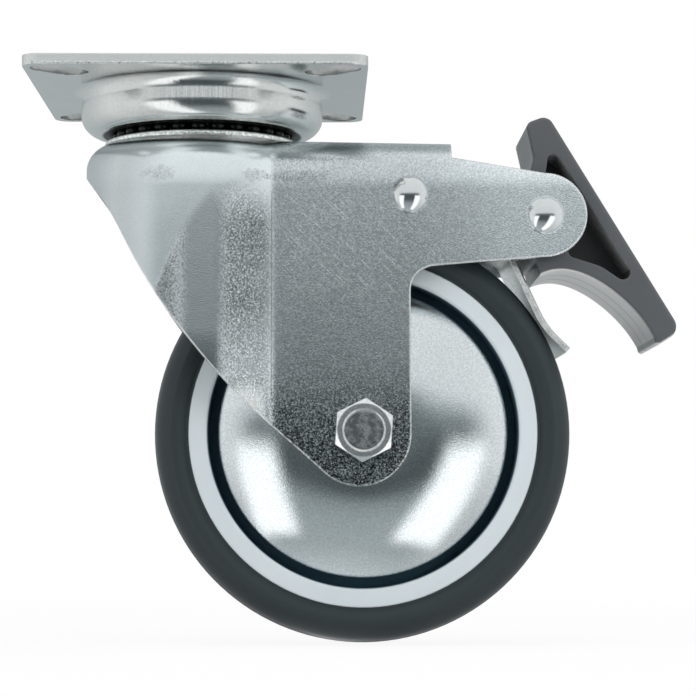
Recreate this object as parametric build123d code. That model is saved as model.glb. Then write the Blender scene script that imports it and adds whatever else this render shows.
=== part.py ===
from build123d import *
from math import cos, radians, sin, sqrt, tan
import os

# Swivel castor with a total-lock foot brake.
# The origin is on the swivel axis in the plate's top face; +Z up, the wheel trails
# towards +X, the axle lies along Y. Millimetres and degrees throughout.

# --- main layout
wheel_diameter = 100.0
wheel_room = 16.9             # crown's underside to the tyre
offset = 39.0                 # swivel axis to axle
sheet = 2.5                   # fork steel
running_gap = 0.05            # radial play of a shaft or ball in its seat
past = 10.0                   # how far a cutting shape reaches beyond its piece

# --- top plate
plate_length = 79.6
plate_depth = 79.6
plate_thickness = 2.4
plate_corner = 4.0
slot_inset = 8.15             # plate's edge to the slot's middle
slot_width = 8.5
slot_travel = 6.6             # between the slot's end centres, along the diagonal

# --- bowl drawn in the plate
bowl_radius = 29.4
bowl_depth = 12.9
bowl_sheet = 2.2
bowl_bend = 4.7               # outer bottom bend
bowl_flare = 2.2              # hollow bend under the plate

# --- swivel bearing
ball_size = 4.0
ball_circle = 20.0
ball_count = 28
head_gap = 1.6                # bowl to crown ring
ring_radius = 23.6
ring_bore = 14.0
ring_thickness = 1.6
ring_groove = 0.8
ring_rounding = 0.9
small_ball_size = 3.0
small_ball_circle = 9.5
small_ball_count = 18
small_groove = 0.6
cup_radius = 12.8
cup_gap = 1.2
cup_thickness = 2.6
pin_radius = 5.0
pin_head_radius = 9.0
pin_head_flat = 6.75
pin_head_height = 3.3
pin_head_rim = 1.3            # height of the head's side
pin_foot_radius = 8.0
pin_foot_height = 2.6

# --- fork
crown_radius = 28.0
crown_fall = 0.9              # slope of the crown down towards the arms
crown_seat = 0.6              # flat round the crown ring
leg_half_width = 21.5         # over the outside of the legs
shoulder = 6.0                # outer bend between top and sides
crease = 5.0                  # hollow bend where nose meets leg
crown_hole = 6.5
nose_drop = 5.9               # crown's top to the start of the front edge
front_curve = ((0.119, 0.132), (0.247, 0.321), (0.414, 0.526), (0.639, 0.738))
front_start, front_end = 54.7, 43.0       # slope of the front edge at the nose and at the foot
web_length = 20.8             # axle to the end of the fork's top
web_step = 4.9                # crown's top to where the arms leave the end
foot_radius = 12.2
foot_shift = (-1.0, -0.8)     # centre of the foot from the axle
leg_back = 11.0               # axle to the leg's back edge
arm_root = 17.3               # lever rivet down to where arm and leg meet
arm_radius = 9.9
arm_inner_bend = 6.0

# --- rivets in the arms, placed from the axle
lever_turn = 78.93
lever_room = 0.96             # lever hub to the tyre
pedal_turn = 49.94
pedal_room = 16.5             # pedal pivot to the tyre
rivet_radius = 3.0
rivet_head_radius = 4.6
rivet_head_height = 2.6
tube_wall = 1.4

# --- axle
bolt_radius = 4.0
bolt_flats = 13.0
bolt_head = 5.3
bolt_turn = 3.5               # how far the hexagon has been turned
bolt_dish_radius = 4.9
bolt_dish_depth = 0.45
hex_chamfer = 1.6
hex_face = 6.24               # flat left inside the chamfer
nut_height = 8.0
nut_collar = 2.2
nut_collar_radius = 5.6
bolt_tail = 1.8
bolt_play = 0.15
axle_tube_radius = 6.0
roller_radius = 1.2
roller_count = 10
roller_end = 2.0              # cage left beyond each roller's end
cage_play = 0.3
cage_end = 3.0                # hub's end to the cage's end

# --- wheel
tyre_depth = 8.7
tyre_room = 3.0               # tyre's side to the leg
tyre_crown_drop = 0.9
tread_half_width = 11.0
tyre_wrap = 1.6               # how far the tyre stands past the rim
rim_ring = 4.5
hub_wall = 4.5
hub_room = 0.25
web_half = 3.2
tyre_step = 0.1               # tyre's foot past the rim's face
tyre_foot = 0.6               # straight part of the tyre's side
tyre_swell = 4.0              # rim to where the tyre is widest
tyre_rise = (2.0, 0.3)        # on the way there: out from the rim, in from the side
tyre_fall = (1.2, 1.9)        # on the way to the tread: in from its edge, in from the side
guard_gap = 2.5               # guard's edge to the rim's ring
guard_sheet = 0.8
guard_edge = 2.0              # guard's edge in from the rim's face
guard_flat = 11.0             # radius of the clamped middle
guard_dome = (24.5, 2.1)      # radius and depth, from the leg, of the dome's middle
guard_lip = 2.0               # width of the turned edge
washer_thickness = 0.9

# --- brake shoe
shoe_sheet = 1.2
shoe_room = 4.0               # shoe's side to the leg
shoe_ear_room = 1.0           # ear to the leg
shoe_gap = 0.55               # off the tyre at rest
shoe_heel = 29.9              # how far above the axle's level it comes nearest the tyre
shoe_lean = 25.0              # slope of its straight strip, from upright
shoe_kick = 21.2              # lip turned away from the tyre
shoe_bend = 22.0
shoe_drop = 20.0              # straight strip above the heel
shoe_lip = 7.6
shoe_root = (6.6, -5.4)       # start of its web, from the lever rivet
shoe_taper = (7.0, 2.0)       # ahead of its upper bend, where it narrows from ears to strip
shoe_ear_radius = 7.0
shoe_ear_reach = 0.68         # how much of the web the ears back
shoe_ear_front = (-3.2, -6.2) # corners of the ear, from the lever rivet
shoe_ear_back = (1.2, 6.8)
shoe_ear_height = 3.6         # above the web, at its end
shoe_sweep = 25.0             # enough turn of its section to reach the ears

# --- lock lever and notched ring
lock_ring_radius = 18.0
lock_ring_thickness = 3.0
notch_count = 20
notch_width = 3.1
notch_depth = 4.6
tooth_room = 1.0
tooth_height = 2.8
lever_plate = 2.5
lever_hub_radius = 5.8
lever_hub_half = 6.0
lever_low = ((-5.0, -3.5), (5.0, -3.2))   # underside by its hub, from the rivet
lever_high = (4.0, 5.0)                   # top behind its hub
lever_bend = 2.0
tooth_lead = 0.6              # tooth's underside past the notched ring
tooth_slant = 2.0             # how far it then slants down and out
tooth_back = 8.0              # length of the tooth's straight top
lever_pad = (6.0, 2.0)        # pad over the pedal's lobe, before and behind it
lever_pad_height = 4.0
lock_gap = 0.4

# --- return spring
spring_wire = 1.4
spring_pitch = 1.6
spring_turns = 3.75
spring_play = 0.5
spring_reach = 13.0
spring_hook = 2.5             # how far the end passes the lever's middle
spring_bend = 1.5
spring_top_gap = 0.1

# --- pedal, outlines as (x, z, bend) from its pivot
pedal_side_room = 3.0         # pedal's side to the leg
pedal_hub_radius = 8.0
pedal_boss_radius = 7.2
pedal_boss_room = 0.3         # boss to the leg
pedal_web = 4.0
pedal_edge = 0.7
pedal_lobe = 11.0             # reach of the lobe that lifts the lever
pedal_lobe_drop = 0.5
pedal_lobe_radius = 3.0
pedal_lobe_half = 5.0
pedal_back = (
    (-0.95, -13.8, 0), (-1.8, -10.6, 2.0), (-5.2, -4.4, 3.0), (-5.2, 4.1, 4.0), (-2.2, 14.2, 4.0),
    (-4.1, 22.7, 1.8), (1.3, 24.7, 2.6), (32.65, -26.85, 3.2), (26.7, -30.6, 0.8), (26.1, -28.6, 0),
)
pedal_palm = ((23.2, -24.2), (17.2, -18.2), (11.5, -14.5), (6.2, -12.7))
pedal_pocket = (
    (1.64, 18.1, 1.4), (24.7, -19.1, 1.75), (13.7, -11.6, 8.0), (6.4, -9.3, 1.0), (2.7, -1.4, 0),
    (0.4, 9.1, 0),
)

# --- worked out from the above
wheel_radius = wheel_diameter / 2
ring_top = -bowl_depth - head_gap
crown_top = ring_top - ring_thickness
web_under = crown_top - sheet
axle_z = web_under - wheel_room - wheel_radius
load_height = wheel_radius - axle_z
ball_radius = ball_size / 2
race_radius = ball_radius + running_gap
ball_z = ring_top - ring_groove + race_radius
small_ball_radius = small_ball_size / 2
small_race = small_ball_radius + running_gap
small_ball_z = web_under + small_groove - small_race
cup_top = web_under - cup_gap
cup_under = cup_top - cup_thickness
lock_top = cup_under
lock_under = lock_top - lock_ring_thickness
pot_floor = -bowl_depth + bowl_sheet
slot_x = plate_length / 2 - slot_inset
slot_y = plate_depth / 2 - slot_inset
leg_inner = leg_half_width - sheet
axle = Vector(offset, axle_z)
lever_pivot = axle + Vector(wheel_radius + lever_hub_radius + lever_room, 0).rotate(Axis.Z, lever_turn)
pedal_pivot = axle + Vector(wheel_radius + pedal_room, 0).rotate(Axis.Z, pedal_turn)
tube_radius = rivet_radius + running_gap + tube_wall
pivot_bore = tube_radius + running_gap
hub_bore = axle_tube_radius + 2 * (roller_radius + running_gap)
hub_radius = hub_bore + hub_wall
guard_face = leg_inner - guard_sheet
washer_face = guard_face - running_gap
hub_half_width = washer_face - washer_thickness - hub_room
cage_half = hub_half_width - cage_end
roller_half = cage_half - roller_end
rim_radius = wheel_radius - tyre_depth
tyre_half_width = leg_inner - tyre_room
rim_half_width = tyre_half_width - tyre_wrap
tread_radius = (tread_half_width**2 + tyre_crown_drop**2) / (2 * tyre_crown_drop)
guard_radius = rim_radius - rim_ring - guard_gap
guard_out = rim_half_width - guard_edge
shoe_half_width = leg_inner - shoe_room
shoe_ear = leg_inner - shoe_ear_room
pedal_half_width = leg_inner - pedal_side_room
pedal_boss_half = leg_inner - pedal_boss_room
lobe = pedal_pivot - Vector(pedal_lobe, pedal_lobe_drop)
lever_rest = lobe.Y + pedal_lobe_radius + lock_gap


def outline(corners):
    """Closed face through corners given as (x, y, bend radius)."""
    return make_face(FilletPolyline(
        *[(x, y) for x, y, _ in corners], radius=[bend for _, _, bend in corners], close=True
    ))


def turned(face):
    """A section drawn as (radius, height), turned about the swivel axis."""
    return revolve(Plane.XZ * face, Axis.Z)


def wheel_turned(face):
    """A section drawn as (radius, distance from the mid-plane), turned about the axle."""
    return Pos(offset, 0, axle_z) * revolve(face, Axis.Y)


def across(face, half_width, centre=0.0):
    """A side-view outline (x, z) given its width along Y."""
    return Pos(0, centre, 0) * extrude(Plane.XZ * face, amount=half_width, both=True)


def bar(place, radius, near, far):
    """A round bar along Y from near to far, at a place in the side view."""
    return Pos(place.X, (near + far) / 2, place.Y) * Rot(90, 0, 0) * Cylinder(radius, far - near)


def slope(angle):
    """Direction in the side view, in degrees below level."""
    return Vector(cos(radians(angle)), -sin(radians(angle)))


def groove(circle, height, radius):
    return Pos(0, 0, height) * Torus(circle, radius)


def row_of_balls(count, circle, height, radius):
    ball = Sphere(radius)
    return Compound(children=[loc * ball for loc in Pos(0, 0, height) * PolarLocations(circle, count)])


def top_plate():
    sheet_metal = extrude(
        RectangleRounded(plate_length, plate_depth, plate_corner), amount=-plate_thickness
    )
    inner = bowl_radius - bowl_sheet
    rise = plate_thickness + bowl_flare
    bead = race_radius + bowl_sheet
    bowl = outline([
        (pin_radius + running_gap, pot_floor, 0),
        (pin_radius + running_gap, -bowl_depth, 0),
        (bowl_radius, -bowl_depth, bowl_bend),
        (bowl_radius, -plate_thickness, bowl_flare),
        (bowl_radius + rise, -plate_thickness, 0),
        (bowl_radius + rise, 0, 0),
        (inner, 0, rise),
        (inner, pot_floor, bowl_bend - bowl_sheet),
    ])
    solid = sheet_metal - extrude(Circle(bowl_radius + rise / 2), amount=-plate_thickness)
    solid += turned(bowl)
    solid += groove(ball_circle, ball_z, bead) & Pos(0, 0, pot_floor + bead / 2) * Cylinder(
        ball_circle + bead, bead
    )
    solid -= groove(ball_circle, ball_z, race_radius)
    slot = SlotCenterToCenter(slot_travel, slot_width)
    for x in (-1, 1):
        for y in (-1, 1):
            place = Pos(x * slot_x, y * slot_y, 0) * Rot(0, 0, 45 * x * y)
            solid -= extrude(place * slot, amount=plate_thickness * 2, both=True)
    return solid


def crown_ring():
    ring = turned(outline([
        (ring_bore, crown_top, 0),
        (ring_radius, crown_top, ring_rounding / 2),
        (ring_radius, ring_top, ring_rounding),
        (ring_bore, ring_top, ring_rounding / 2),
    ]))
    return ring - groove(ball_circle, ball_z, race_radius)


def king_pin():
    top = pot_floor + pin_head_height
    foot = lock_under - pin_foot_height
    return turned(outline([
        (0, top, 0),
        (pin_head_flat, top, 3.0),
        (pin_head_radius, pot_floor + pin_head_rim, 1.0),
        (pin_head_radius, pot_floor, 0),
        (pin_radius, pot_floor, 0),
        (pin_radius, lock_under, 0),
        (pin_foot_radius, lock_under, 0),
        (pin_foot_radius, foot, 1.5),
        (0, foot, 0),
    ]))


def race_cup():
    bore = pin_radius + running_gap
    cup = turned(outline([
        (bore, cup_under, 0),
        (cup_radius, cup_under, 1.2),
        (cup_radius, cup_top, 0.5),
        (bore, cup_top, 0),
    ]))
    return cup - groove(small_ball_circle, small_ball_z, small_race)


def lock_ring():
    ring = Pos(0, 0, lock_top - lock_ring_thickness / 2) * (
        Cylinder(lock_ring_radius, lock_ring_thickness)
        - Cylinder(pin_radius + running_gap, lock_ring_thickness)
    )
    reach = notch_depth + past
    notch = Pos(lock_ring_radius - notch_depth + reach / 2, 0) * Rectangle(reach, notch_width)
    cutter = extrude(Pos(0, 0, lock_under) * notch, amount=lock_ring_thickness)
    for turn in range(notch_count):
        ring -= Rot(0, 0, turn * 360 / notch_count) * cutter
    return ring


def fork_plan(inset):
    """Plan of the fork: round nose running into two flat legs, inset from the outside."""
    reach = pedal_pivot.X + arm_radius + past
    half = leg_half_width - inset
    plan = Circle(crown_radius - inset) + Pos(reach / 2, 0) * Rectangle(reach, 2 * half)
    meet = sqrt((crown_radius - inset) ** 2 - half**2)
    corners = plan.vertices().filter_by(lambda v: abs(v.X - meet) < running_gap)
    return fillet(corners, crease + inset)


def fork_blank(inset):
    """The fork's plan carried down from its sloping top, with the top edge rounded."""
    top = crown_top - inset
    block = Pos(0, 0, top + past) * extrude(fork_plan(inset), amount=-load_height)
    size = 2 * load_height
    block -= Pos(0, 0, top) * Rot(0, crown_fall, 0) * Pos(0, 0, size / 2) * Box(2 * size, size, size)
    return fillet(block.faces().sort_by(Axis.Z)[-1].edges(), shoulder - inset)


def fork_side():
    """Side view of the fork, from the nose down to the axle and out along the arm."""
    nose = Vector(-crown_radius - 1, crown_top - nose_drop)
    foot = axle + Vector(*foot_shift)
    heel = foot - Vector(sin(radians(front_end)), cos(radians(front_end))) * foot_radius
    run = heel - nose
    front = Spline(
        nose, *[nose + Vector(run.X * x, run.Y * z) for x, z in front_curve], heel,
        tangents=(slope(front_start), slope(front_end)),
    )
    sole_end = foot + Vector(foot_radius, 0)
    sole = TangentArc(heel, sole_end, tangent=slope(front_end))
    arm_low = pedal_pivot - Vector(0, arm_radius)
    arm_tip = pedal_pivot + Vector(arm_radius, 0)
    arm_top = pedal_pivot + Vector(0, arm_radius)
    inner = Vector(axle.X + leg_back, lever_pivot.Y - arm_root)
    step = Vector(axle.X + web_length, crown_top - web_step)
    corner = FilletPolyline(sole_end, inner, arm_low, radius=arm_inner_bend)
    over = crown_top + past
    edges = [
        front,
        sole,
        *corner.edges(),
        ThreePointArc(arm_low, arm_tip, arm_top),
        Polyline(arm_top, step, (step.X, over), (nose.X, over), nose),
    ]
    return make_face(edges)


def fork():
    solid = (fork_blank(0) - fork_blank(sheet)) & across(fork_side(), crown_radius + past)
    seat = ring_radius + crown_seat
    solid -= Pos(0, 0, crown_top + past / 2) * Cylinder(seat, past)
    solid -= Pos(0, 0, web_under - sheet / 2) * Cylinder(seat, sheet)
    solid += Pos(0, 0, crown_top - sheet / 2) * Cylinder(seat, sheet)
    solid -= Pos(0, 0, crown_top) * Cylinder(crown_hole, 3 * sheet)
    solid -= groove(small_ball_circle, small_ball_z, small_race)
    reach = leg_half_width + past
    for place, radius in (
        (lever_pivot, rivet_radius + running_gap),
        (pedal_pivot, rivet_radius + running_gap),
        (axle, bolt_radius + bolt_play),
    ):
        solid -= bar(place, radius, -reach, reach)
    return solid


def rivet(place):
    dome = (rivet_head_radius**2 + rivet_head_height**2) / (2 * rivet_head_height)
    solid = bar(place, rivet_radius, -leg_half_width, leg_half_width)
    for side in (-1, 1):
        head = Sphere(dome) & Pos(0, side * dome, 0) * Box(
            3 * dome, 2 * rivet_head_height, 3 * dome
        )
        solid += Pos(place.X, side * (leg_half_width + rivet_head_height - dome), place.Y) * head
    return solid


def rivet_tube(place):
    return bar(place, tube_radius, -leg_inner, leg_inner) - bar(
        place, rivet_radius + running_gap, -leg_inner, leg_inner
    )


def hex_block(near, far):
    """Hexagon prism along Y on the axle with its outer corners turned off."""
    tip = bolt_flats / sqrt(3)
    hexagon = Rot(0, bolt_turn, 0) * (Plane.XZ * RegularPolygon(tip, 6, rotation=30))
    block = Pos(offset, (near + far) / 2, axle_z) * extrude(hexagon, amount=(far - near) / 2, both=True)
    cone = outline([
        (0, near, 0), (hex_face, near, 0), (tip + hex_chamfer, near + hex_chamfer, 0),
        (tip + hex_chamfer, far, 0), (0, far, 0),
    ])
    return block & wheel_turned(cone)


def axle_bolt():
    near = -leg_half_width - bolt_head
    far = leg_half_width + nut_height + bolt_tail
    bottom = near + bolt_dish_depth
    dish = wheel_turned(outline([
        (0, near - past, 0), (bolt_dish_radius, near - past, 0), (bolt_dish_radius, bottom, 0.3),
        (0, bottom, 0),
    ]))
    root = near + bolt_head / 2
    shank = wheel_turned(outline([
        (0, root, 0), (bolt_radius, root, 0), (bolt_radius, far, 0.8), (0, far, 0),
    ]))
    return hex_block(near, -leg_half_width) - dish + shank


def axle_nut():
    near, far = leg_half_width, leg_half_width + nut_height
    neck = far - nut_collar
    body = mirror(hex_block(-neck, -near), about=Plane.XZ)
    collar = wheel_turned(outline([
        (0, neck, 0), (nut_collar_radius, neck, 0), (nut_collar_radius, far, 0.9), (0, far, 0),
    ]))
    return body + collar - bar(axle, bolt_radius + running_gap, near, far)


def axle_tube():
    return bar(axle, axle_tube_radius, -guard_face, guard_face) - bar(
        axle, bolt_radius + bolt_play, -guard_face, guard_face
    )


def roller_row(radius, half):
    circle = axle_tube_radius + running_gap + roller_radius
    step = 360 / roller_count
    return [
        bar(axle + Vector(circle, 0).rotate(Axis.Z, (i + 0.5) * step), radius, -half, half)
        for i in range(roller_count)
    ]


def rollers():
    return Compound(children=roller_row(roller_radius, roller_half))


def roller_cage():
    cage = bar(axle, hub_bore - cage_play, -cage_half, cage_half)
    cage -= bar(axle, axle_tube_radius + cage_play, -cage_half, cage_half)
    for window in roller_row(roller_radius + cage_play / 3, roller_half + cage_play / 3):
        cage -= window
    return cage


def rim():
    ring_in = rim_radius - rim_ring
    half = [
        (hub_bore, hub_half_width, 0), (hub_radius - 1, hub_half_width, 0.5),
        (hub_radius, web_half, 2.0), (ring_in, web_half, 2.5),
        (ring_in, rim_half_width, 0.8), (rim_radius, rim_half_width, 0),
    ]
    return wheel_turned(outline([(r, -y, bend) for r, y, bend in half] + half[::-1]))


def tyre():
    """Tread on the rim, its sides swelling out past the rim's face."""
    edge = wheel_radius - tyre_crown_drop
    step = rim_half_width + tyre_step
    side = tyre_half_width
    foot, swell = rim_radius + tyre_foot, rim_radius + tyre_swell
    rise = (rim_radius + tyre_rise[0], side - tyre_rise[1])
    fall = (edge - tyre_fall[0], side - tyre_fall[1])
    edges = [
        ThreePointArc((edge, -tread_half_width), (wheel_radius, 0), (edge, tread_half_width)),
        Line((rim_radius, -step), (rim_radius, step)),
    ]
    for way in (-1, 1):
        edges += [
            Line((rim_radius, way * step), (foot, way * step)),
            ThreePointArc((foot, way * step), (rise[0], way * rise[1]), (swell, way * side)),
            ThreePointArc((swell, way * side), (fall[0], way * fall[1]), (edge, way * tread_half_width)),
        ]
    return wheel_turned(make_face(edges))


def thread_guard(way):
    """Domed steel disc clamped between leg and axle tube; way is -1 near, +1 far."""
    bore = bolt_radius + bolt_play
    swell, depth = guard_dome
    lip = guard_out - guard_lip
    edge_in = guard_radius - guard_sheet
    corners = [
        Vector(radius, way * out) for radius, out in (
            (guard_flat, guard_face), (bore, guard_face), (bore, leg_inner), (guard_flat, leg_inner),
            (guard_radius, guard_out), (guard_radius, lip), (edge_in, lip),
            (edge_in, guard_out - guard_sheet / 2),
        )
    ]
    inner_dome, outer_dome = [
        Vector(swell, way * (leg_inner - depth - under)) for under in (guard_sheet, 0)
    ]
    return wheel_turned(make_face([
        Polyline(*corners[:4]),
        ThreePointArc(corners[3], outer_dome, corners[4]),
        Polyline(*corners[4:]),
        ThreePointArc(corners[7], inner_dome, corners[0]),
    ]))


def thrust_washers():
    bore = axle_tube_radius + running_gap
    pair = []
    for way in (-1, 1):
        near, far = sorted((way * (washer_face - washer_thickness), way * washer_face))
        pair.append(bar(axle, hub_radius - 2, near, far) - bar(axle, bore, near, far))
    return Compound(children=pair)


def brake_shoe():
    """Pressed plate hung from two ears on the lever rivet, bent down over the tyre and hollowed to it."""
    middle = shoe_gap + shoe_sheet / 2
    heel = axle + Vector(wheel_radius + middle, 0).rotate(Axis.Z, shoe_heel)
    along = slope(90 - shoe_lean)
    out = along.rotate(Axis.Z, 90)
    bend = heel - along * shoe_drop
    kick = along.rotate(Axis.Z, shoe_kick)
    root = lever_pivot + Vector(*shoe_root)
    path = FilletPolyline(root, bend, heel, heel + kick * shoe_lip, radius=(3.0, shoe_bend))
    pivot_line = heel - out * (tread_radius + middle)
    spin = Axis((pivot_line.X, 0, pivot_line.Y), (along.X, 0, along.Y))

    def at_ear(point):
        """Where a point of the middle section has bent to, out at the ear."""
        reach = (point - pivot_line).dot(out)
        return point - out * (reach - sqrt(reach**2 - shoe_ear**2))

    side = Plane.XZ * trace(path, shoe_sheet)
    solid = revolve(side, spin, shoe_sweep) + revolve(side, spin, -shoe_sweep)
    back, front = [bend.X - taper for taper in shoe_taper]
    start, tip = root.X - past, heel.X + past
    plan = Polygon(
        (start, shoe_ear), (back, shoe_ear), (front, shoe_half_width),
        (tip, shoe_half_width), (tip, -shoe_half_width),
        (front, -shoe_half_width), (back, -shoe_ear), (start, -shoe_ear),
        align=None,
    )
    solid &= extrude(plan, amount=load_height, both=True)
    low, high = [at_ear(point) for point in (root, root + (bend - root) * shoe_ear_reach)]
    ear = Polygon(
        lever_pivot + Vector(*shoe_ear_front), low, high,
        high + Vector(0, shoe_ear_height), lever_pivot + Vector(*shoe_ear_back),
        align=None,
    )
    ear += Pos(lever_pivot) * Circle(shoe_ear_radius)
    for side in (-1, 1):
        solid += across(ear, shoe_sheet / 2, side * (shoe_ear - shoe_sheet / 2))
    return solid - bar(lever_pivot, pivot_bore, -shoe_ear, shoe_ear)


def lock_lever():
    """Two-armed lever: its tooth drops into the notched ring when the pedal lifts the other arm."""
    low = lock_top + lock_gap
    tip = lock_ring_radius - notch_depth + tooth_room
    clear = lock_ring_radius + tooth_lead
    x, z = lever_pivot.X, lever_pivot.Y
    pad, pad_end = lobe.X - lever_pad[0], lobe.X + lever_pad[1]
    arm = outline([
        (tip, low, 0.4),
        (clear, low, 0),
        (clear + tooth_slant, low - tooth_slant, 0.5),
        *[(x + out, z + up, lever_bend) for out, up in lever_low],
        (pad, lever_rest, 1.5),
        (pad_end, lever_rest, 0.5),
        (pad_end, lever_rest + lever_pad_height, 1.5),
        (x + lever_high[0], z + lever_high[1], lever_bend),
        (tip + tooth_back, low + tooth_height, 4.0),
        (tip, low + tooth_height, 1.0),
    ])
    solid = across(arm, lever_plate / 2)
    solid += bar(lever_pivot, lever_hub_radius, -lever_hub_half, lever_hub_half)
    return solid - bar(lever_pivot, pivot_bore, -lever_hub_half, lever_hub_half)


def return_spring():
    """Torsion spring round the lever rivet, one end under the fork's top, one over the lever."""
    radius = spring_wire / 2
    mean = pivot_bore + spring_play + radius
    length = spring_turns * spring_pitch
    near = lever_hub_half + spring_wire
    coil = Pos(lever_pivot.X, near + length, lever_pivot.Y) * Rot(90, 0, 0) * Helix(
        spring_pitch, length, mean, lefthand=True
    )
    start, rising = coil @ 0, -(coil % 0)
    ceiling = web_under - start.X * tan(radians(crown_fall)) - spring_top_gap
    top = start + rising * (ceiling - start.Z) / rising.Z
    corner = coil @ 1 + (coil % 1) * spring_reach
    hook = corner - Vector(0, near + spring_hook, 0)
    tail = FilletPolyline(coil @ 1, corner, hook, radius=spring_bend)
    wire = Wire([Line(top, start).edge(), coil.edge(), *tail.edges()])
    return sweep(Plane(top, z_dir=-rising) * Circle(radius), path=wire)


def from_pedal_pivot(points):
    return [(pedal_pivot.X + point[0], pedal_pivot.Y + point[1], *point[2:]) for point in points]


def pedal():
    """Moulded foot pedal, hollowed from both sides, with the brake nose below its hub."""
    back = from_pedal_pivot(pedal_back)
    edge = FilletPolyline(*[point[:2] for point in back], radius=[point[2] for point in back[1:-1]])
    palm = Spline(edge @ 1, *from_pedal_pivot(pedal_palm), edge @ 0)
    body = across(make_face([edge, palm]), pedal_half_width)
    body = fillet(body.faces().filter_by(Axis.Y).edges(), pedal_edge)
    body += bar(pedal_pivot, pedal_hub_radius, -pedal_half_width, pedal_half_width)
    body += bar(pedal_pivot, pedal_boss_radius, -pedal_boss_half, pedal_boss_half)
    arm = Pos(lobe) * Circle(pedal_lobe_radius)
    arm += Pos(lobe + Vector(pedal_lobe / 2, 0)) * Rectangle(pedal_lobe, 2 * pedal_lobe_radius)
    body += across(arm, pedal_lobe_half)
    pocket = outline(from_pedal_pivot(pedal_pocket)) - Pos(pedal_pivot) * Circle(pedal_hub_radius)
    depth = pedal_half_width - pedal_web / 2 + past
    for side in (-1, 1):
        body -= across(pocket, depth / 2, side * (pedal_web + depth) / 2)
    return body - bar(pedal_pivot, pivot_bore, -pedal_boss_half, pedal_boss_half)


nodes = {
    "top_plate": top_plate(),
    "king_pin": king_pin(),
    "race_cup": race_cup(),
    "lock_ring": lock_ring(),
    "upper_balls": row_of_balls(ball_count, ball_circle, ball_z, ball_radius),
    "lower_balls": row_of_balls(small_ball_count, small_ball_circle, small_ball_z, small_ball_radius),
    "crown_ring": crown_ring(),
    "fork": fork(),
    "lever_rivet": rivet(lever_pivot),
    "pedal_rivet": rivet(pedal_pivot),
    "lever_tube": rivet_tube(lever_pivot),
    "pedal_tube": rivet_tube(pedal_pivot),
    "lock_lever": lock_lever(),
    "return_spring": return_spring(),
    "brake_shoe": brake_shoe(),
    "pedal": pedal(),
    "axle_bolt": axle_bolt(),
    "axle_nut": axle_nut(),
    "axle_tube": axle_tube(),
    "thread_guard_near": thread_guard(-1),
    "thread_guard_far": thread_guard(1),
    "thrust_washers": thrust_washers(),
    "roller_cage": roller_cage(),
    "rollers": rollers(),
    "rim": rim(),
    "tyre": tyre(),
}

os.makedirs("parts", exist_ok=True)
for name, shape in nodes.items():
    export_step(shape, f"parts/{name}.step")
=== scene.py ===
import math
import bmesh
import bpy
from mathutils import Euler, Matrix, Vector


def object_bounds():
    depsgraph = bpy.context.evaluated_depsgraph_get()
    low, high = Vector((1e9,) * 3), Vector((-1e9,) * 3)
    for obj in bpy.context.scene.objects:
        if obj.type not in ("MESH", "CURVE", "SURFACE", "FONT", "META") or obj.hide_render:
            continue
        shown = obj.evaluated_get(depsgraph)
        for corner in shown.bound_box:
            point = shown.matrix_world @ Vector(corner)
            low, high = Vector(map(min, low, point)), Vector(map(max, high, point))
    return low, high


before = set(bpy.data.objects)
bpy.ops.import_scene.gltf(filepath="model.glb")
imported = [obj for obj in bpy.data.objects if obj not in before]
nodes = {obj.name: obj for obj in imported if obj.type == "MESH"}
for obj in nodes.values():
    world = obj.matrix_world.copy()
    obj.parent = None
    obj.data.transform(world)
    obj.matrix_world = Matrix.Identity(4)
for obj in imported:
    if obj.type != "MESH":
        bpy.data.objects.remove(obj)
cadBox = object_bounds()
mm = 0.001
axle = (39.0, -85.5)  # x and z of the wheel's axle, mm
print("stage: frame loaded,", len(nodes), "pieces")


class Wire:  # a socket that can stand in a sum
    def __init__(self, sheet, socket):
        self.sheet = sheet
        self.socket = socket

    def work(self, kind, other, turned=False):
        pair = (other, self) if turned else (self, other)
        types = [wire.socket.type for wire in pair if isinstance(wire, Wire)]
        if "RGBA" in types:
            return self.sheet.add("ShaderNodeMix", {"data_type": "RGBA", "blend_type": kind},
                                  {0: 1.0, 6: pair[0], 7: pair[1]}, 2)
        node = "ShaderNodeVectorMath" if "VECTOR" in types else "ShaderNodeMath"
        return self.sheet.add(node, {"operation": kind}, {0: pair[0], 1: pair[1]})

    def __add__(self, other):
        return self.work("ADD", other)

    def __radd__(self, other):
        return self.work("ADD", other)

    def __sub__(self, other):
        return self.work("SUBTRACT", other)

    def __rsub__(self, other):
        return self.work("SUBTRACT", other, True)

    def __mul__(self, other):
        return self.work("MULTIPLY", other)

    def __rmul__(self, other):
        return self.work("MULTIPLY", other)

    def __truediv__(self, other):
        return self.work("DIVIDE", other)

    def __rtruediv__(self, other):
        return self.work("DIVIDE", other, True)

    def __pow__(self, other):
        return self.work("POWER", other)

    def __neg__(self):
        return 0.0 - self

    def __abs__(self):
        return self.sheet.add("ShaderNodeMath", {"operation": "ABSOLUTE"}, {0: self})

    def over(self, low, high):  # 0 below low, 1 above high, smooth between
        return self.sheet.add("ShaderNodeMapRange", {"interpolation_type": "SMOOTHSTEP"},
                              {0: self, 1: low, 2: high, 3: 0.0, 4: 1.0})

    def within(self, low, high, soft):  # 1 from low to high, fading out over soft
        return self.over(low - soft, low + soft) * (1.0 - self.over(high - soft, high + soft))

    def fill(self, least):  # a mask that never falls under least
        return least + (1.0 - least) * self


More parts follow.
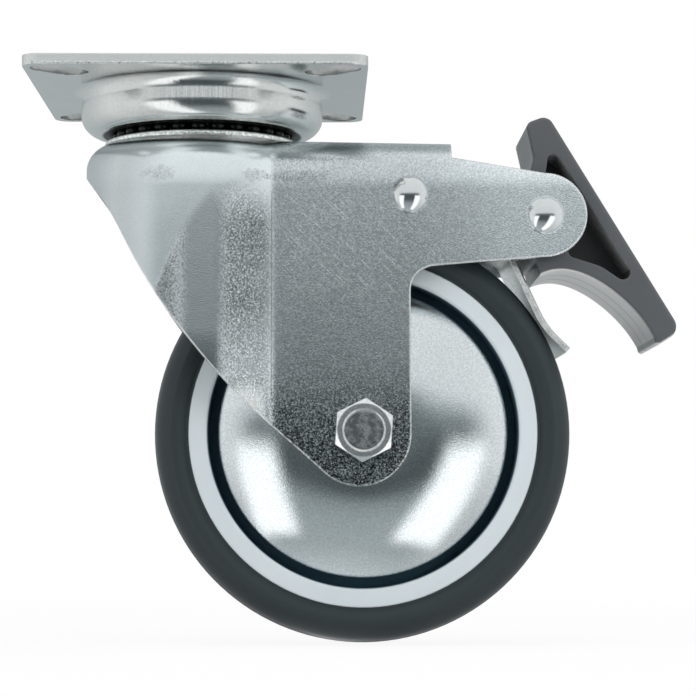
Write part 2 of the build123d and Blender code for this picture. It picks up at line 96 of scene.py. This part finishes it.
class Sheet:  # a node tree being filled in
    def __init__(self, tree):
        self.tree = tree
        self.tree.nodes.clear()

    def add(self, kind, settings=None, sockets=None, out=0):
        node = self.tree.nodes.new(kind)
        for key, value in (settings or {}).items():
            if key == "stops":
                ramp = node.color_ramp
                for place, _ in value[1:-1]:
                    ramp.elements.new(place)
                for element, (place, colour) in zip(ramp.elements, value):
                    element.position = place
                    element.color = (*colour, 1.0)
            else:
                setattr(node, key, value)
        for key, value in (sockets or {}).items():
            self.feed(node.inputs[key], value)
        return Wire(self, node.outputs[out]) if node.outputs else None

    def feed(self, socket, value):
        if isinstance(value, Wire):
            self.tree.links.new(value.socket, socket)
        elif isinstance(value, (int, float)):
            many = socket.type in ("RGBA", "VECTOR")
            full = (value, value, value, 1.0) if socket.type == "RGBA" else (value, value, value)
            socket.default_value = full if many else value
        else:
            socket.default_value = (*value, 1.0) if socket.type == "RGBA" else value

    def mix(self, share, first, second):
        return self.add("ShaderNodeMix", {"data_type": "RGBA"}, {0: share, 6: first, 7: second}, 2)

    def split(self, vector):  # its x, y and z
        parts = self.add("ShaderNodeSeparateXYZ", {}, {0: vector})
        return [Wire(self, socket) for socket in parts.socket.node.outputs]


class Finish(Sheet):  # a material built round one Principled shader
    def __init__(self, name, fixed=None):
        self.material = bpy.data.materials.new(name)
        self.material.use_nodes = True
        super().__init__(self.material.node_tree)
        self.place = self.add("ShaderNodeTexCoord", out="Object")
        self.x, self.y, self.z = [part * (1.0 / mm) for part in self.split(self.place)]  # in mm
        self.fixed = fixed or {}

    def close(self, changing):
        shader = self.add("ShaderNodeBsdfPrincipled", {}, {**self.fixed, **changing})
        self.add("ShaderNodeOutputMaterial", {}, {0: shader})
        return self.material

    def noise(self, scale, detail=2.0, rough=0.5, stretch=None):  # scale is spots per metre
        spot = self.place * stretch if stretch else self.place
        return self.add("ShaderNodeTexNoise", {},
                        {"Vector": spot, "Scale": scale, "Detail": detail, "Roughness": rough})

    def strokes(self, along, across, fine, length):  # thin lines running one way, fine mm apart
        deep = self.y * 0.02  # differs from side to side
        spot = self.add("ShaderNodeCombineXYZ", {}, {0: along / length, 1: across / fine, 2: deep})
        return self.add("ShaderNodeTexNoise", {}, {"Vector": spot, "Scale": 1.0, "Detail": 1.0})

    def fromAxle(self):  # distance from the axle's line, mm
        east, up = self.x - axle[0], self.z - axle[1]
        return (east * east + up * up) ** 0.5

    def patch(self, wide, tall):  # a soft-edged rectangle in side view
        return self.x.within(*wide) * self.z.within(*tall)

    def blot(self, middle, size, ragged=3.0):  # soft sandy spot in side view, mm
        east, up = (self.x - middle[0]) / size[0], (self.z - middle[1]) / size[1]
        wobble = ragged * (self.noise(700, rough=0.6) - 0.5)
        inside = 1.0 - (east * east + up * up + wobble).over(0.0, 1.2)
        return inside * self.noise(2600, rough=0.8).over(0.42, 0.56).fill(0.25)

    def lean(self, start, rate, way):  # relief that turns the surface up (1) or down (-1) past start
        past = way * (self.z - start)
        past = self.add("ShaderNodeMath", {"operation": "MAXIMUM"}, {0: past, 1: 0.0})
        return past * past * (-0.5 * rate)

    def worn(self, radius):  # rounded edge normal, and how near an edge this spot is; radius in mm
        eased = self.add("ShaderNodeBevel", {"samples": 4}, {"Radius": radius * mm})
        flat = self.add("ShaderNodeNewGeometry", out="Normal")
        level = self.add("ShaderNodeVectorMath", {"operation": "DOT_PRODUCT"}, {0: eased, 1: flat}, 1)
        return eased, (1.0 - level).over(0.005, 0.15)

    def bump(self, height, depth, normal, strength=1.0):  # depth in mm
        sockets = {"Height": height, "Distance": depth * mm, "Strength": strength}
        if normal:
            sockets["Normal"] = normal
        return self.add("ShaderNodeBump", {}, sockets)


# grain and cloud are spots per metre, depth the grain's relief in mm, speckle how far its spots differ
# in tone, near how much brighter an edge is (edge wear with a painted highlight), and edge how wide it is
# in mm
zincLook = {
    "fork": {"colour": (0.60, 0.65, 0.67), "rough": 0.20, "grain": 3400, "depth": 0.040,
             "cloud": 60, "speckle": 0.07, "near": 1.3, "edge": 0.9},
    "plate": {"colour": (0.72, 0.745, 0.735), "rough": 0.15, "grain": 3000, "depth": 0.016,
              "cloud": 90, "speckle": 0.10, "near": 0.3},
    "ring": {"colour": (0.82, 0.86, 0.83), "rough": 0.24, "grain": 2000, "depth": 0.06,
             "cloud": 160, "speckle": 0.5},
    "guard": {"colour": (0.75, 0.80, 0.82), "rough": 0.08, "grain": 3400, "depth": 0.020,
              "cloud": 40, "speckle": 0.24},
    "shoe": {"colour": (0.96, 0.98, 0.96), "rough": 0.34, "grain": 1900, "depth": 0.050,
             "cloud": 120, "speckle": 0.35},
    "pin": {"colour": (0.60, 0.62, 0.62), "rough": 0.26, "grain": 2600, "depth": 0.015,
            "cloud": 150, "speckle": 0.15},
    "lever": {"colour": (0.22, 0.23, 0.23), "rough": 0.42, "grain": 2200, "depth": 0.030,
              "cloud": 150, "speckle": 0.3},
    "bolt": {"colour": (0.88, 0.90, 0.90), "rough": 0.18, "grain": 2400, "depth": 0.016,
             "cloud": 200, "speckle": 0.15},
    # near-black balls: grease, with painted shade of the gap they sit in
    "ball": {"colour": (0.020, 0.024, 0.022), "rough": 0.12, "grain": 2600, "depth": 0.002,
             "cloud": 200, "speckle": 0.05},
    "rivet": {"colour": (0.74, 0.77, 0.78), "rough": 0.07, "grain": 2200, "depth": 0.004,
              "cloud": 260, "speckle": 0.05},
}
zincPlain = {  # holds where a piece above says nothing else
    "near": 0.42, "edge": 0.38, "roughEdge": -0.04,
    "cloudLeast": 0.84, "roughCloud": 0.10,
    "smear": 0.3, "smearStretch": (1.0, 1.0, 0.45), "roughSmear": 0.08,  # a share of cloud
    "grit": 0.68, "gritSpan": (0.40, 0.62),  # a share of grain
}


def zinc(name, look, marks=None):
    look = {**zincPlain, **look}
    f = Finish("zinc_" + name, {"Metallic": 1.0})
    rounded, near = f.worn(look["edge"])
    grain = f.noise(look["grain"], rough=0.7)
    cloud = f.noise(look["cloud"], detail=4.0, rough=0.6)
    smear = f.noise(look["cloud"] * look["smear"], detail=3.0, stretch=look["smearStretch"])
    grit = f.noise(look["grain"] * look["grit"], detail=4.0, rough=0.9).over(*look["gritSpan"]) - 0.5
    tone = cloud.fill(look["cloudLeast"]) + look["speckle"] * grit
    rough = look["rough"] + look["roughCloud"] * (cloud - 0.5) + look["roughSmear"] * (smear - 0.5)
    rough = rough + look["roughEdge"] * near
    height = grain
    if marks:
        tone, rough, height, rounded = marks(f, tone, rough, height, rounded, grit)
    # edges brightened: edge wear plus a painted highlight along the cut edges
    tone = tone + look["near"] * near
    colour = f.mix(1.0, look["colour"], look["colour"]) * tone
    normal = f.bump(height, look["depth"], rounded)
    return f.close({"Base Color": colour, "Roughness": rough, "Normal": normal})


# side view in mm; a patch is its span along x and its span along z, each with how softly it ends
forkMarks = {
    "blots": [  # middle, size, how dark
        ((-8.7, -25.6), (4.6, 1.9), 0.30),
        ((13.6, -25.8), (3.4, 1.7), 0.36),
        ((24.0, -25.6), (8.5, 1.8), 0.40),
    ],
    "flatFrom": (16.8, 18.4), "armFrom": (46.0, 80.0),
    "smoothFrom": (-29.0, -25.0), "topFrom": (-18.5, -16.5),
    # painted light and shade: the leg darker, the arm, the upper nose and the top bend lighter, as their
    # reflections fall; the upper shoulder a little lighter
    "flatPaintedShade": -0.09, "armPaintedLight": 0.46, "smoothTone": 0.08, "topPaintedHighlight": 0.6, "nosePaintedLight": 0.32,
    # painted shade on the nose's far left, where it turns away
    "front": (6.0, 18.0), "frontPaintedShade": -0.32,
    "scratched": ((20.0, 60.0, 4.0), (-54.0, -27.0, 4.0)), "scratch": {"fine": 0.15, "length": 16.0},
    "scratchLight": ((0.66, 0.76), 0.26), "scratchDark": ((0.26, 0.36), -0.20),
    "scratchRelief": 0.4, "scratchRough": 0.05,
    "fleck": {"fine": 0.20, "length": 0.8}, "fleckSlant": 0.5, "fleckTone": 0.12, "fleckRelief": 0.4,
    # painted shade: a dark line along the crease
    "crease": ((17.25, 17.55, 0.12), (-80.0, -30.0, 2.0)), "creasePaintedShade": -0.35,
    # painted highlight low on the nose by the edge
    "paintedHighlight": ((8.5, 15.0, 2.0), (-84.0, -76.0, 2.5)), "paintedHighlightTone": 0.8,
    "foot": ((15.0, 19.0), (66.0, 92.0)), "footTone": -0.46, "footGrit": 1.5, "flatGrit": 0.34,
    "reliefLeast": 0.25,
    "leanUp": (-28.5, 0.026), "leanDown": (-62.0, 0.013), "leanDownTo": (14.0, 17.0),
}
fanMarks = {  # the gritty zone low on the nose, under a bowed line: grit, with painted shade for its darker reflection
    "top": -23.5, "bow": 0.0585, "middle": 12.0, "fade": (-0.3, 4.5),
    "right": (3.0, 7.0), "slowed": 2.2,  # it fades in more slowly on the right
    "gritRight": (6.2, 16.8, 2.4), "gritLeft": (-12.0, -3.0, 2.5), "gritLeftShare": 0.7,
    "gritDown": (25.0, 34.0), "gritLeast": 0.35, "gritTone": 0.90, "gritRelief": 1.2,
    "patches": 130, "patchBase": 0.4, "patchGain": 1.2,
    # painted shade: how much darker the zone is, more to the left and right, paler low down
    "dark": 0.06, "left": (-12.0, -5.5, 2.0), "leftDark": 0.34,
    "rightHeight": (-60.0, -33.0, 5.0), "rightDark": 0.18, "lowFrom": (58.0, 74.0), "lowPale": 0.22,
}


def markFan(f, flat):  # where the zone is, how gritty it is, and how much painted shade it takes
    m = fanMarks
    right = f.x.over(*m["right"])
    aside = m["middle"] - f.x
    below = (m["top"] - m["bow"] * aside * aside - f.z) / (1.0 + m["slowed"] * right)
    fan = below.over(*m["fade"]) * (1.0 - flat)
    where = f.x.within(*m["gritRight"]) + m["gritLeftShare"] * f.x.within(*m["gritLeft"])
    uneven = m["patchBase"] + m["patchGain"] * f.noise(m["patches"], detail=3.0)
    gritty = fan * where * uneven * (-f.z).over(*m["gritDown"]).fill(m["gritLeast"])
    dark = m["dark"] + m["leftDark"] * f.x.within(*m["left"])
    dark = dark + m["rightDark"] * f.z.within(*m["rightHeight"]) * right
    return fan, gritty, dark - m["lowPale"] * (-f.z).over(*m["lowFrom"])


def markFork(f, tone, rough, height, rounded, grit):
    m = forkMarks
    for middle, size, dark in m["blots"]:
        tone = tone * (1.0 - dark * f.blot(middle, size))
    flat, arm = f.x.over(*m["flatFrom"]), f.x.over(*m["armFrom"])
    smooth, top = f.z.over(*m["smoothFrom"]), f.z.over(*m["topFrom"])
    leg = flat * (1.0 - smooth)
    fan, gritty, fanPaintedShade = markFan(f, flat)

    scratched = f.patch(*m["scratched"])
    (paleSpan, pale), (darkSpan, dark) = m["scratchLight"], m["scratchDark"]
    lines = f.strokes(f.x - f.z, f.x + f.z, **m["scratch"])
    bright, dull = lines.over(*paleSpan) * scratched, (1.0 - lines.over(*darkSpan)) * scratched
    slant = m["fleckSlant"]
    dash = f.strokes(f.x - slant * f.z, f.z + slant * f.x, **m["fleck"]) - 0.5
    tone = tone + pale * bright + dark * dull + m["fleckTone"] * dash * leg
    # painted shade along the crease and a painted highlight low on the nose
    tone = tone + m["creasePaintedShade"] * f.patch(*m["crease"]) + m["paintedHighlightTone"] * f.patch(*m["paintedHighlight"])

    # painted light: tones by where each part faces, a painted highlight on the top bend and painted shade
    # on the nose's far left
    nose = (1.0 - flat) * (1.0 - fan)
    shade = m["flatPaintedShade"] * leg + m["armPaintedLight"] * arm + m["smoothTone"] * smooth + m["nosePaintedLight"] * nose
    tone = tone * (1.0 + shade) * (1.0 + m["topPaintedHighlight"] * top)
    tone = tone * (1.0 + m["frontPaintedShade"] * (-f.x).over(*m["front"]))
    fromX, fromZ = m["foot"]
    foot = (-f.z).over(*fromZ) * f.x.over(*fromX)
    # painted shade over the zone low on the nose
    tone = tone * (1.0 - fan * fanPaintedShade) * (1.0 + m["footTone"] * foot)
    tone = tone + grit * (fanMarks["gritTone"] * gritty + m["footGrit"] * foot + m["flatGrit"] * flat)

    height = height * (fan + flat).fill(m["reliefLeast"]) + m["scratchRelief"] * (bright - dull)
    height = height + m["fleckRelief"] * dash * flat + fanMarks["gritRelief"] * gritty * grit
    form = f.lean(*m["leanUp"], 1.0) + f.lean(*m["leanDown"], -1.0) * (1.0 - f.x.over(*m["leanDownTo"]))
    return tone, rough + m["scratchRough"] * bright, height, f.bump(form, 1.0, rounded)


plateMarks = {  # mm
    "dim": 0.94,
    "edge": ((-2.6, -2.3), (39.4, 39.7)), "edgeTone": 0.18, "edgeRough": 0.22,  # cut near edge
    "chips": ((-2.5, -1.9, 0.15), (39.2, 39.6)), "chipGrain": 1500, "chipRelief": 2.0,
    "chipLight": ((0.56, 0.62), 0.6), "chipDark": ((0.38, 0.44), -0.5),
    "drawn": ((-10.0, 12.0, 5.0), (-9.5, -4.6, 0.8)), "drawnFront": (20.0, 24.0), "drawnTone": 0.35,
    "drawnLine": {"fine": 0.35, "length": 9.0},  # marks of the drawing tool down the bowl
    # the lip over the crown ring darkened: grease, and painted shade of the gap under it
    "greaseAndGapShade": (12.6, 12.85), "greaseAndGapShadeRing": (560.0, 610.0),  # below this height, inside this radius squared
    "greaseAndGapShadeTone": -0.93, "greaseRough": 0.3,
    # painted shade on the walls of the slots
    "slots": (23.0, 38.6, 0.3), "slotWall": (-2.34, -0.10, 0.05), "slotPaintedShade": -0.35,
    "stains": [((23.5, -6.3), (2.0, 0.5)), ((23.6, -10.4), (2.0, 0.7))], "stainTone": -0.6,
    "stainFront": (8.0, 12.0), "stainRagged": 0.9,
    "neck": (-5.8, -2.0), "neckFlare": 0.62,  # the bowl's neck flares sooner than its wall
}


def markPlate(f, tone, rough, height, rounded, grit):
    m = plateMarks
    front, down = -f.y, -f.z
    edge = f.z.over(*m["edge"][0]) * front.over(*m["edge"][1])
    flecks = f.noise(m["chipGrain"], detail=3.0, rough=0.7)
    chips = f.z.within(*m["chips"][0]) * front.over(*m["chips"][1])
    (paleSpan, pale), (darkSpan, dark) = m["chipLight"], m["chipDark"]
    chipped = pale * flecks.over(*paleSpan) + dark * (1.0 - flecks.over(*darkSpan))
    tone = tone * m["dim"] + m["edgeTone"] * edge + chips * chipped
    lines = f.strokes(f.z, f.x, **m["drawnLine"]) - 0.5
    tone = tone + m["drawnTone"] * f.patch(*m["drawn"]) * front.over(*m["drawnFront"]) * lines
    greaseAndGapShade = down.over(*m["greaseAndGapShade"]) * (1.0 - (f.x * f.x + f.y * f.y).over(*m["greaseAndGapShadeRing"]))
    slots = abs(f.x).within(*m["slots"]) * abs(f.y).within(*m["slots"]) * f.z.within(*m["slotWall"])
    tone = tone * (1.0 + m["greaseAndGapShadeTone"] * greaseAndGapShade) * (1.0 + m["slotPaintedShade"] * slots)
    for middle, size in m["stains"]:
        stain = f.blot(middle, size, m["stainRagged"]) * front.over(*m["stainFront"])
        tone = tone * (1.0 + m["stainTone"] * stain)
    rough = rough + m["edgeRough"] * edge + m["greaseRough"] * greaseAndGapShade
    form = m["neckFlare"] * f.z.over(*m["neck"])
    return tone, rough, height + m["chipRelief"] * chips * flecks, f.bump(form, 1.0, rounded)


# the crown ring's top in the gap darkened: grease, and painted shade of the gap
ringMarks = {"greaseAndGapShade": (-14.6, -14.4), "greaseAndGapShadeRing": (500.0, 545.0), "greaseAndGapShadeTone": -0.9}


def markRing(f, tone, rough, height, rounded, grit):
    m = ringMarks
    greaseAndGapShade = f.z.over(*m["greaseAndGapShade"]) * (1.0 - (f.x * f.x + f.y * f.y).over(*m["greaseAndGapShadeRing"]))
    return tone * (1.0 + m["greaseAndGapShadeTone"] * greaseAndGapShade), rough, height, rounded


boltMarks = {
    # painted shade in the head's dished recess, mottled by noise
    "dish": (4.2, 4.8), "dishPaintedShade": -0.25, "dishRough": 0.06, "dishRelief": 3.0,  # radius, mm
    "spots": 420, "spotSpan": (0.40, 0.60), "dishSpotShade": -0.40,
}


def markBolt(f, tone, rough, height, rounded, grit):
    m = boltMarks
    dish = 1.0 - f.fromAxle().over(*m["dish"])
    shade = f.noise(m["spots"], detail=3.0, rough=0.7)
    tone = tone * (1.0 + dish * (m["dishPaintedShade"] + m["dishSpotShade"] * shade.over(*m["spotSpan"])))
    return tone, rough + m["dishRough"] * dish, height + m["dishRelief"] * dish * shade, rounded


zincMarks = {"fork": markFork, "plate": markPlate, "ring": markRing, "bolt": markBolt}
finishes = {key: zinc(key, look, zincMarks.get(key)) for key, look in zincLook.items()}
print("stage: zinc made,", len(finishes), "kinds")

tyreLook = {  # tread is a radius and depth the relief, mm
    "colour": (0.022, 0.030, 0.033), "pale": 2.6, "rough": 0.50, "sheen": 0.28,
    "grain": 2600, "depth": 0.02, "bump": 0.6,
    "dust": 60, "dustSpan": (0.5, 0.8), "dustShare": 0.10, "roughDust": 0.12,
    "scuff": 900, "scuffSpan": (0.60, 0.70), "scuffStretch": (1.0, 0.3, 1.0),
    "tread": (48.2, 49.6), "treadDust": 0.22, "treadScuff": 0.25,
}


def rubber(name, look):
    f = Finish(name, {"Specular IOR Level": look["sheen"]})
    fine = f.noise(look["grain"], detail=3.0, rough=0.6)
    dust = f.noise(look["dust"], detail=4.0)
    scuff = f.noise(look["scuff"], detail=4.0, rough=0.7, stretch=look["scuffStretch"])
    scuff = scuff.over(*look["scuffSpan"])
    tread = f.fromAxle().over(*look["tread"])
    worn = tread * (look["treadDust"] + look["treadScuff"] * scuff)
    pale = tuple(part * look["pale"] for part in look["colour"])
    tone = f.mix(dust.over(*look["dustSpan"]) * look["dustShare"] + worn, look["colour"], pale)
    rough = look["rough"] + look["roughDust"] * (dust - 0.5)
    normal = f.bump(fine + scuff * tread, look["depth"], None, look["bump"])
    return f.close({"Base Color": tone, "Roughness": rough, "Normal": normal})


mouldedLook = {
    "rim": {"name": "rim_plastic", "colour": (0.53, 0.585, 0.61), "rough": 0.42, "pale": 1.1},
    "pedal": {"name": "pedal_plastic", "colour": (0.070, 0.077, 0.082), "rough": 0.30, "pale": 1.6},
    "nylon": {"name": "washer_nylon", "colour": (0.70, 0.69, 0.64), "rough": 0.45, "pale": 1.1},
    "cage": {"name": "cage_nylon", "colour": (0.03, 0.03, 0.032), "rough": 0.45, "pale": 1.25},
}
mouldedPlain = {  # shared by the four; edge and depth in mm
    "edge": 0.6, "edgePale": 0.45, "grain": 3200, "depth": 0.012, "bump": 0.7,
    "cloud": 70, "cloudLeast": 0.95, "cloudGain": 0.1, "roughCloud": 0.12,
    "scuff": 420, "scuffStretch": (1.0, 0.25, 1.0), "scuffSpan": (0.60, 0.72), "scuffCloud": (0.45, 0.7),
    "scuffPale": 0.12,
}


def moulded(look, marks=None):
    look = {**mouldedPlain, **look}
    f = Finish(look["name"])
    rounded, near = f.worn(look["edge"])
    fine = f.noise(look["grain"], rough=0.6)
    cloud = f.noise(look["cloud"], detail=4.0)
    scuff = f.noise(look["scuff"], detail=3.0, stretch=look["scuffStretch"]).over(*look["scuffSpan"])
    scuff = scuff * cloud.over(*look["scuffCloud"])
    pale = tuple(min(1.0, part * look["pale"]) for part in look["colour"])
    tone = f.mix(near * look["edgePale"] + scuff * look["scuffPale"], look["colour"], pale)
    if marks:
        tone = marks(f, tone)
    tone = tone * (look["cloudLeast"] + look["cloudGain"] * cloud)
    rough = look["rough"] + look["roughCloud"] * (cloud - 0.5)
    normal = f.bump(fine, look["depth"], rounded, look["bump"])
    return f.close({"Base Color": tone, "Roughness": rough, "Normal": normal})


pedalMarks = {
    "halfWidth": 16.0, "pocket": (0.8, 2.0),  # mm
    # painted shade on the pocket walls
    "facing": (0.4, 0.8), "pocketPaintedShade": -0.5,
    # painted sheen: the underside paler by its facing, less so along the seam bands
    "under": (0.25, 0.85), "paintedHighlight": (0.74, 0.75, 0.74), "paintedHighlightShare": 0.82,
    "seam": (18.0, 30.0, 4.0), "seamShare": -0.4,  # squared distance from the middle, mm
}


def markPedal(f, tone):  # pockets given painted shade, the underside a painted pale sheen
    m = pedalMarks
    _, aside, upward = f.split(f.add("ShaderNodeNewGeometry", out="Normal"))
    web = (aside * aside).over(*m["facing"]) * (m["halfWidth"] - abs(f.y)).over(*m["pocket"])
    tone = tone * (1.0 + m["pocketPaintedShade"] * web)
    under = (-upward).over(*m["under"])
    seam = (f.y * f.y).within(*m["seam"])
    return f.mix(under * (m["paintedHighlightShare"] + m["seamShare"] * seam), tone, m["paintedHighlight"])


rimMarks = {"well": (36.75, 37.1), "navyWellShade": (0.045, 0.100, 0.140)}  # radius, mm


def markRim(f, tone):  # painted shade: the well round the guards is darkened to a navy tint
    return f.mix(1.0 - f.fromAxle().over(*rimMarks["well"]), tone, rimMarks["navyWellShade"])


finishes["tyre"] = rubber("grey_rubber", tyreLook)
mouldedMarks = {"rim": markRim, "pedal": markPedal}
for key, look in mouldedLook.items():
    finishes[key] = moulded(look, mouldedMarks.get(key))

wearing = {
    "top_plate": "plate", "king_pin": "pin", "race_cup": "plate", "lock_ring": "plate",
    "upper_balls": "ball", "lower_balls": "ball", "crown_ring": "ring", "fork": "fork",
    "lever_rivet": "rivet", "pedal_rivet": "rivet", "lever_tube": "pin", "pedal_tube": "pin",
    "lock_lever": "lever", "return_spring": "lever", "brake_shoe": "shoe", "pedal": "pedal",
    "axle_bolt": "bolt", "axle_nut": "bolt", "axle_tube": "pin", "thread_guard_near": "guard",
    "thread_guard_far": "guard", "thrust_washers": "nylon", "roller_cage": "cage", "rollers": "bolt",
    "rim": "rim", "tyre": "tyre",
}
for name, finish in wearing.items():
    nodes[name].data.materials.clear()
    nodes[name].data.materials.append(finishes[finish])
print("stage: finishes on,", len(wearing), "pieces")


white = (1.0, 1.0, 1.0)
studio = {  # metres
    "floor": (0.86, 0.86, 0.86), "reach": 3.0, "drop": 0.0003,
    "glow": 0.92, "farGlow": 0.08, "far": (0.14, 0.5),  # the floor's own light, and where it is full
    "fill": 0.58,  # even light from all round
    "shell": 1.1, "middle": (0.03, 0.0, -0.06), "shellLift": 0.0002,
}


def seenPlain(sheet):  # rays that meet the white background itself
    rays = [sheet.add("ShaderNodeLightPath", out="Is %s Ray" % kind)
            for kind in ("Camera", "Glossy", "Transmission")]
    return (rays[0] + rays[1] + rays[2]).over(0.0, 1.0)


reach = studio["reach"]
floorMesh = bpy.data.meshes.new("floor")
corners = [(-reach, -reach, 0), (reach, -reach, 0), (reach, reach, 0), (-reach, reach, 0)]
floorMesh.from_pydata(corners, [], [(0, 1, 2, 3)])
floor = bpy.data.objects.new("floor", floorMesh)
floor.location.z = cadBox[0][2] - studio["drop"]
bpy.context.collection.objects.link(floor)

paper = bpy.data.materials.new("paper")
paper.use_nodes = True
sheet = Sheet(paper.node_tree)
shade = sheet.add("ShaderNodeBsdfDiffuse", {}, {"Color": studio["floor"]})
glow = sheet.add("ShaderNodeEmission", {}, {"Color": white, "Strength": 1.0})
spot = sheet.add("ShaderNodeTexCoord", out="Object")
far = sheet.add("ShaderNodeVectorMath", {"operation": "LENGTH"}, {0: spot}, 1).over(*studio["far"])
share = seenPlain(sheet) * (studio["glow"] + studio["farGlow"] * far)
paperShader = sheet.add("ShaderNodeMixShader", {}, {0: share, 1: shade, 2: glow})
sheet.add("ShaderNodeOutputMaterial", {}, {0: paperShader})
floorMesh.materials.append(paper)

world = bpy.data.worlds.new("studio")
bpy.context.scene.world = world
world.use_nodes = True
sky = Sheet(world.node_tree)
blank = seenPlain(sky)
strength = blank + studio["fill"] * (1.0 - blank)
skyShader = sky.add("ShaderNodeBackground", {}, {"Color": white, "Strength": strength})
sky.add("ShaderNodeOutputWorld", {}, {0: skyShader})

# what the metal shows: soft windows and grey cards round the object, met by glossy rays only
cards = {  # degrees
    "front": [  # height and tone, straight ahead
        (-90, 1.70), (-74, 0.70), (-62, 0.50), (-46, 0.46), (-30, 0.37), (-17, 0.12), (-4, 0.11),
        (1, 0.15), (5, 0.29), (8, 0.46), (11, 0.86), (40, 0.92), (90, 0.98),
    ],
    "sides": [(0, 0.85), (95, 0.98), (125, 0.74), (155, 0.58), (180, 0.47)],  # bearing and tone
    "turn": (36, 60),  # bearings where the front gives way to the sides
    "window": (27, 53, 3.0), "windowLow": (-56, -3, 3.0), "bright": 1.45,  # a pair, left and right
    "dusk": (-45, -4), "duskTone": 0.70,  # the sides are dimmer low down
    "blue": 0.16, "blueGain": 0.25,  # how far the darker cards lean to blue
}


def grey(tone):
    cool = cards["blue"] * max(0.0, 1.0 - tone)
    return (tone * (1.0 - cool), tone, tone * (1.0 + cards["blueGain"] * cool))


dome = bmesh.new()
bmesh.ops.create_uvsphere(dome, u_segments=96, v_segments=48, radius=studio["shell"])
lowest = floor.location.z + studio["shellLift"] - studio["middle"][2]
for vert in dome.verts:
    vert.co.z = max(vert.co.z, lowest)
shellMesh = bpy.data.meshes.new("cards")
dome.to_mesh(shellMesh)
dome.free()
shell = bpy.data.objects.new("cards", shellMesh)
shell.location = studio["middle"]
for kind in ("camera", "diffuse", "shadow", "transmission", "volume_scatter"):
    setattr(shell, "visible_" + kind, False)
bpy.context.collection.objects.link(shell)

card = bpy.data.materials.new("cards")
card.use_nodes = True
lining = Sheet(card.node_tree)
spot = lining.add("ShaderNodeTexCoord", out="Object")
toward = lining.add("ShaderNodeVectorMath", {"operation": "NORMALIZE"}, {0: spot})
east, north, up = lining.split(toward)
degree = 180.0 / math.pi
bearing = abs(lining.add("ShaderNodeMath", {"operation": "ARCTAN2"}, {0: east, 1: -north}) * degree)
height = lining.add("ShaderNodeMath", {"operation": "ARCSINE"}, {0: up}) * degree
frontStops = [((h + 90) / 180, grey(tone)) for h, tone in cards["front"]]
ahead = lining.add("ShaderNodeValToRGB", {"stops": frontStops}, {"Fac": (height + 90.0) / 180.0})
sideStops = [(b / 180, grey(tone)) for b, tone in cards["sides"]]
beside = lining.add("ShaderNodeValToRGB", {"stops": sideStops}, {"Fac": bearing / 180.0})
beside = beside * height.over(*cards["dusk"]).fill(cards["duskTone"])
lit = lining.mix(bearing.over(*cards["turn"]), ahead, beside)
window = bearing.within(*cards["window"]) * height.within(*cards["windowLow"])
lit = lining.mix(window, lit, (cards["bright"],) * 3)
cardShader = lining.add("ShaderNodeEmission", {}, {"Color": lit, "Strength": 1.0})
lining.add("ShaderNodeOutputMaterial", {}, {0: cardShader})
shellMesh.materials.append(card)

lamps = {  # soft boxes for the plastic and the rubber; the metal shows the cards instead
    "leftBox": {"place": (-0.60, -0.80, 0.25), "size": (0.6, 0.6), "power": 2.5},
    "rightBox": {"place": (0.66, -0.74, 0.05), "size": (0.5, 0.6), "power": 4.3},
    "topBox": {"place": (0.05, -0.15, 0.85), "size": (0.9, 0.7), "power": 4.0},
}
lampsAim = (0.03, 0.0, -0.07)
for name, lamp in lamps.items():
    data = bpy.data.lights.new(name, "AREA")
    data.shape = "RECTANGLE"
    data.size, data.size_y = lamp["size"]
    data.energy = lamp["power"]
    box = bpy.data.objects.new(name, data)
    box.location = lamp["place"]
    box.visible_glossy = False
    aim = Vector(lampsAim) - box.location
    box.rotation_euler = aim.to_track_quat("-Z", "Y").to_euler()
    bpy.context.collection.objects.link(box)

# mm and degrees
view = {"place": (27.72, -590.87, -109.08), "focal": 126.16, "yaw": 0.766, "pitch": 4.315}
cameraData = bpy.data.cameras.new("camera")
cameraData.lens = view["focal"]
cameraData.sensor_width = 36.0
cameraData.clip_start = 0.01
camera = bpy.data.objects.new("camera", cameraData)
camera.location = Vector(view["place"]) * mm
camera.rotation_mode = "QUATERNION"
aimed = Euler((math.radians(90 + view["pitch"]), 0.0, -math.radians(view["yaw"])), "XYZ")
camera.rotation_quaternion = aimed.to_quaternion()
bpy.context.collection.objects.link(camera)
bpy.context.scene.camera = camera
bpy.context.scene.view_settings.view_transform = "Standard"
print("stage: studio ready")
